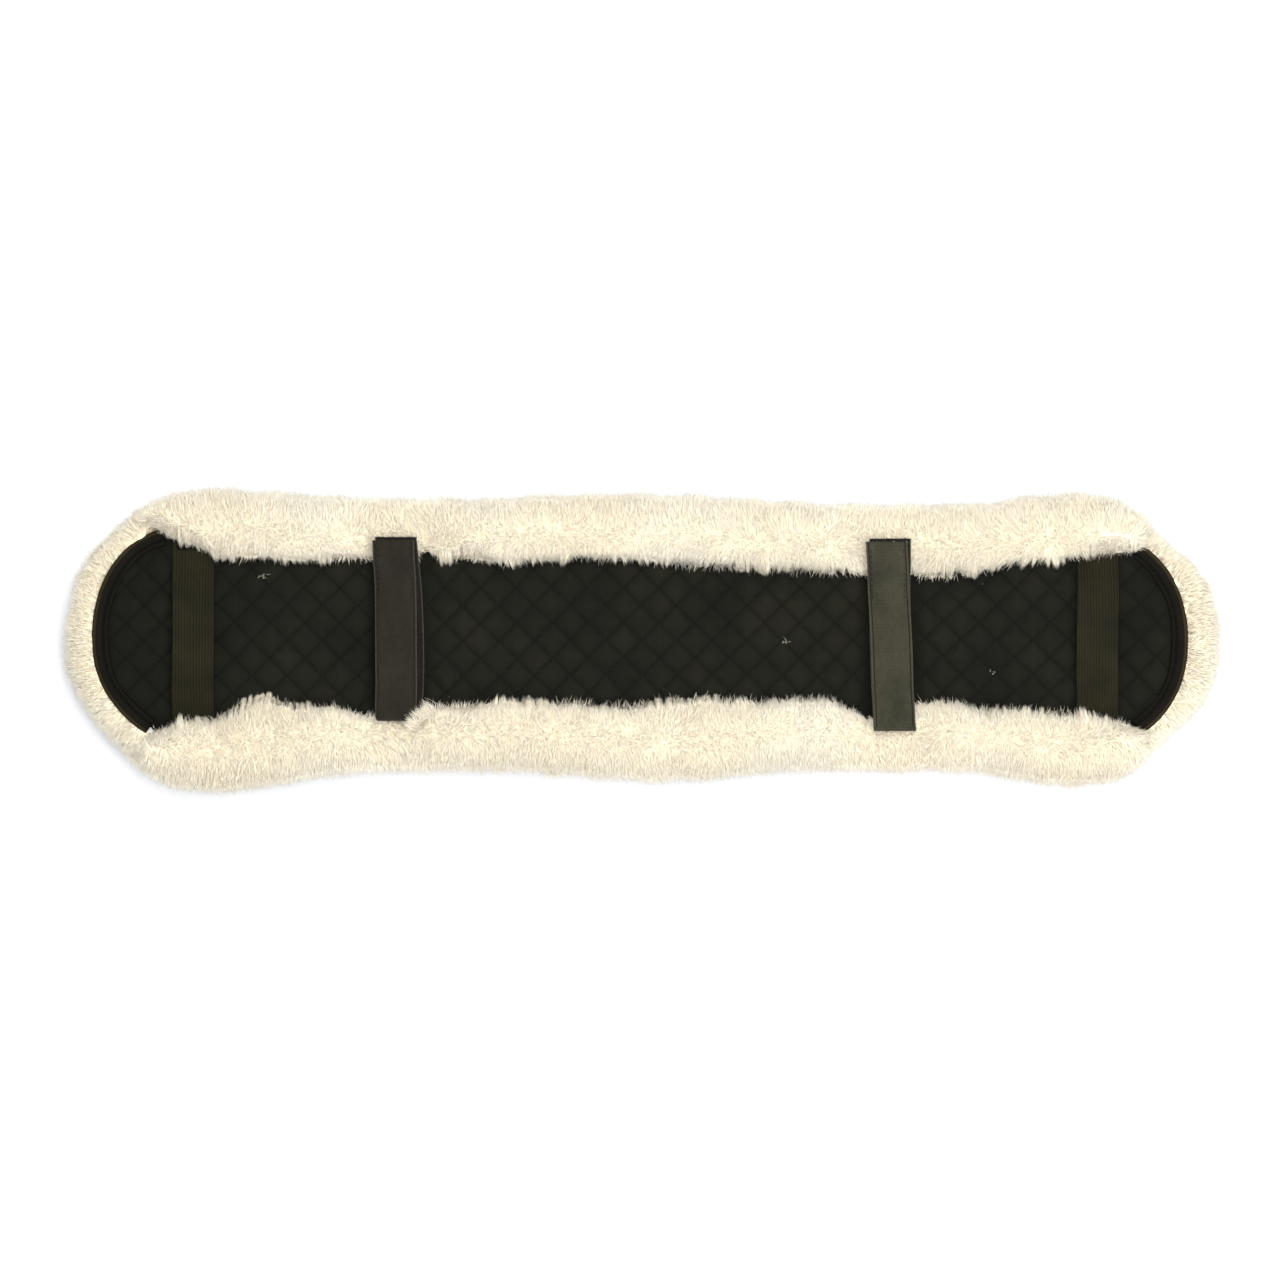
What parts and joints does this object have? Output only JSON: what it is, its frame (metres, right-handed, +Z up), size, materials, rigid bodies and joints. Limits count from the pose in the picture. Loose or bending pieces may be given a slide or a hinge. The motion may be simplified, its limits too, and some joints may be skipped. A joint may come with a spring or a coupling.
{
  "type": "sheepskin girth cover",
  "caption": "Quilted saddle girth cover with rolled sheepskin edges, elastic keeper loops across its ends and hook-and-loop straps that fold over the girth.",
  "frame": {"origin": "middle of the cover's length and width, on the surface it lies on", "axes": "+X along the cover's length, +Y across it to its far side, +Z up through the quilted side that the girth lies on"},
  "size_m": [0.7, 0.1846, 0.046],
  "materials": {
    "wool": "matte cream sheared wool pile",
    "suede": "matte suede flesh side",
    "quilt_cloth": "matte black cotton, diamond quilted",
    "backing_cloth": "matte black cotton",
    "wadding": "matte white polyester wadding",
    "binding_tape": "woven black tape with a slight sheen",
    "elastic": "ribbed dark olive woven elastic",
    "webbing": "charcoal napped strap",
    "hook_tape": "black nylon hooks",
    "loop_tape": "dark napped loop pile",
    "thread": "black sewing thread"
  },
  "bodies": {
    "pad": {"fleece_underside": "wool", "fleece_roll_far": "wool", "fleece_roll_near": "wool", "fleece_end_left": "wool", "fleece_end_right": "wool", "sheepskin_hide": "suede", "quilt_face_cloth": "quilt_cloth", "quilt_backing_cloth": "backing_cloth", "quilt_wadding": "wadding", "end_binding_left": "binding_tape", "end_binding_right": "binding_tape", "elastic_loop_left": "elastic", "elastic_loop_right": "elastic", "elastic_tack_left_far": "thread", "elastic_tack_left_near": "thread", "elastic_tack_right_far": "thread", "elastic_tack_right_near": "thread", "strap_base_left": "webbing", "strap_base_right": "webbing", "strap_tack_left_far": "thread", "strap_tack_left_near": "thread", "strap_tack_right_far": "thread", "strap_tack_right_near": "thread", "hook_tape_left": "hook_tape", "hook_tape_right": "hook_tape"},
    "left_flap": {"strap_flap_left": "webbing", "loop_tape_left": "loop_tape"},
    "right_flap": {"strap_flap_right": "webbing", "loop_tape_right": "loop_tape"}
  },
  "joints": [
    {"name": "left_strap_fold", "type": "hinge", "parent": "pad", "child": "left_flap", "pos_m": [-0.1485, -0.047, 0.0425], "axis": [1, 0, 0], "range_deg": [0, 170]},
    {"name": "right_strap_fold", "type": "hinge", "parent": "pad", "child": "right_flap", "pos_m": [0.15, -0.053, 0.0425], "axis": [1, 0, 0], "range_deg": [0, 170]}
  ]
}
